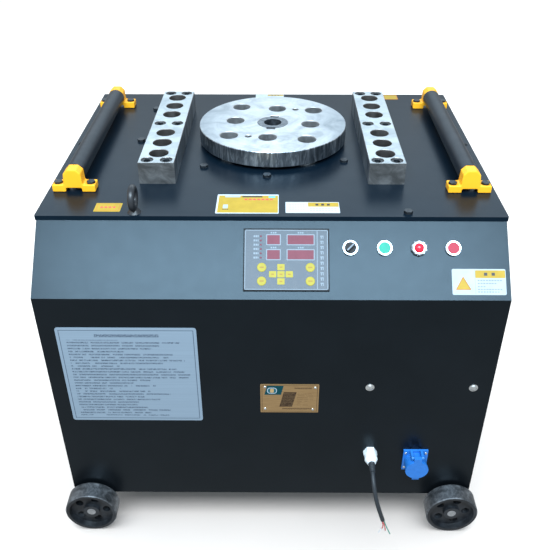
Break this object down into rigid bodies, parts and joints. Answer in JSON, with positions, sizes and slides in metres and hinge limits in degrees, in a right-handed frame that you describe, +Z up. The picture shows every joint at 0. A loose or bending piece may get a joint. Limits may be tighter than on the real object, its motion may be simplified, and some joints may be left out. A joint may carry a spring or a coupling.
{
  "type": "rebar bender",
  "caption": "Wheeled electric rebar bender: bending disc with pin holes between drilled tooth blocks on a steel table with side rollers and a sloped control panel.",
  "frame": {"origin": "on the floor under the middle of the machine, wheels included", "axes": "+X to the operator's right, +Y from the operator to the back, +Z up"},
  "size_m": [0.974, 0.9685, 0.834],
  "materials": {
    "frame_paint": "dark charcoal primer",
    "body_paint": "semi-gloss dark charcoal paint",
    "zinc_screws": "zinc plated",
    "ground_steel": "ground top faces, machined sides",
    "black_bolts": "blackened steel",
    "cast_iron": "painted casting",
    "machined_steel": "turned and milled",
    "rubber_black": "belt rubber",
    "motor_paint": "blue enamel on castings",
    "yellow_paint": "gloss yellow paint on castings",
    "black_steel": "satin black coating",
    "black_plastic": "moulded plastic",
    "panel_film": "printed polyester film",
    "chrome_ring": "bright plated",
    "red_lens": "moulded lens",
    "aluminium_sheet": "anodised and printed",
    "brass_sheet": "etched brass",
    "white_plastic": "nylon",
    "cable_rubber": "matt sheath",
    "wire_plastic": "core insulation, one colour each",
    "blue_plastic": "polyamide",
    "zinc_plate": "galvanised sheet",
    "grey_plastic": "switchgear",
    "green_plastic": "button cap",
    "red_plastic": "button cap"
  },
  "bodies": {
    "base": {"frame": "frame_paint", "table_plate": "body_paint", "front_cover": "body_paint", "left_side_panel": "body_paint", "right_side_panel": "body_paint", "rear_panel": "body_paint", "panel_screws": "zinc_screws", "left_tooth_block": "ground_steel", "right_tooth_block": "ground_steel", "block_screws": "black_bolts", "gearbox_top": "cast_iron", "gearbox_case": "cast_iron", "machine_bolts": "black_bolts", "table_bolts": "black_bolts", "shaft_bearings": "machined_steel", "v_belts": "rubber_black", "motor_housing": "motor_paint", "motor_flange": "motor_paint", "fan_cowl": "motor_paint", "terminal_box": "motor_paint", "motor_plate": "frame_paint", "roller_brackets": "yellow_paint", "bracket_bolts": "black_bolts", "roller_axles": "machined_steel", "lifting_eyebolt": "black_steel", "controller_case": "black_plastic", "controller_face": "panel_film", "switch_bezels": "chrome_ring", "power_lamp": "red_lens", "instruction_plate": "aluminium_sheet", "rating_plate": "brass_sheet", "cable_gland": "white_plastic", "power_cable": "cable_rubber", "cable_wires": "wire_plastic", "socket_body": "blue_plastic", "electrics_plate": "zinc_plate", "control_gear": "grey_plastic", "wheel_axles": "machined_steel"},
    "disc": {"bending_disc": "ground_steel", "spindle": "machined_steel", "drive_keys": "machined_steel", "bull_gear": "machined_steel"},
    "second_stage": {"second_shaft": "machined_steel", "second_gear": "machined_steel"},
    "first_stage": {"first_shaft": "machined_steel", "first_gear": "machined_steel"},
    "input_stage": {"input_shaft": "machined_steel", "input_pulley": "cast_iron"},
    "motor_shaft": {"motor_rotor": "machined_steel", "motor_pulley": "cast_iron"},
    "roller_left": {"left_roller": "black_steel"},
    "roller_right": {"right_roller": "black_steel"},
    "wheel_front_left": {"front_left_wheel": "cast_iron"},
    "wheel_front_right": {"front_right_wheel": "cast_iron"},
    "wheel_rear_left": {"rear_left_wheel": "cast_iron"},
    "wheel_rear_right": {"rear_right_wheel": "cast_iron"},
    "selector": {"selector_knob": "black_plastic"},
    "start": {"start_button": "green_plastic"},
    "stop": {"stop_button": "red_plastic"},
    "lid": {"socket_lid": "blue_plastic"}
  },
  "joints": [
    {"name": "disc_spin", "type": "hinge", "parent": "base", "child": "disc", "pos_m": [0, 0.086, 0.8], "axis": [0, 0, 1], "continuous": true},
    {"name": "second_spin", "type": "hinge", "parent": "base", "child": "second_stage", "pos_m": [-0.14979, 0.21852, 0.69], "axis": [0, 0, 1], "continuous": true},
    {"name": "first_spin", "type": "hinge", "parent": "base", "child": "first_stage", "pos_m": [-0.1934, 0.09871, 0.63], "axis": [0, 0, 1], "continuous": true},
    {"name": "input_spin", "type": "hinge", "parent": "base", "child": "input_stage", "pos_m": [-0.1934, 0.00671, 0.56], "axis": [0, 0, 1], "continuous": true},
    {"name": "motor_spin", "type": "hinge", "parent": "base", "child": "motor_shaft", "pos_m": [0.1306, 0.00671, 0.3], "axis": [0, 0, 1], "continuous": true},
    {"name": "left_roller_spin", "type": "hinge", "parent": "base", "child": "roller_left", "pos_m": [-0.418, 0.0685, 0.805], "axis": [0, 1, 0], "continuous": true},
    {"name": "right_roller_spin", "type": "hinge", "parent": "base", "child": "roller_right", "pos_m": [0.418, 0.0685, 0.805], "axis": [0, 1, 0], "continuous": true},
    {"name": "front_left_roll", "type": "hinge", "parent": "base", "child": "wheel_front_left", "pos_m": [-0.427, -0.432, 0.06], "axis": [0, 1, 0], "continuous": true},
    {"name": "front_right_roll", "type": "hinge", "parent": "base", "child": "wheel_front_right", "pos_m": [0.427, -0.432, 0.06], "axis": [0, 1, 0], "continuous": true},
    {"name": "rear_left_roll", "type": "hinge", "parent": "base", "child": "wheel_rear_left", "pos_m": [-0.427, 0.432, 0.06], "axis": [0, 1, 0], "continuous": true},
    {"name": "rear_right_roll", "type": "hinge", "parent": "base", "child": "wheel_rear_right", "pos_m": [0.427, 0.432, 0.06], "axis": [0, 1, 0], "continuous": true},
    {"name": "selector_turn", "type": "hinge", "parent": "base", "child": "selector", "pos_m": [0.1575, -0.3326, 0.7254], "axis": [0, -0.7071, 0.7071], "range_deg": [0, 90]},
    {"name": "start_push", "type": "slide", "parent": "base", "child": "start", "axis": [0, 0.7071, -0.7071], "range_m": [0, 0.004], "stiffness_N_per_m": 300, "springref_m": -0.003},
    {"name": "stop_push", "type": "slide", "parent": "base", "child": "stop", "axis": [0, 0.7071, -0.7071], "range_m": [0, 0.004], "stiffness_N_per_m": 300, "springref_m": -0.003},
    {"name": "lid_open", "type": "hinge", "parent": "base", "child": "lid", "pos_m": [0.3305, -0.433, 0.233], "axis": [-1, 0, 0], "range_deg": [0, 110], "stiffness_Nm_per_rad": 0.05, "springref_deg": -28.65}
  ],
  "couplings": [
    {"joint": "second_spin", "follows": "disc_spin", "ratio": -4},
    {"joint": "first_spin", "follows": "disc_spin", "ratio": 16},
    {"joint": "input_spin", "follows": "disc_spin", "ratio": -57.6},
    {"joint": "motor_spin", "follows": "disc_spin", "ratio": -143.36}
  ]
}
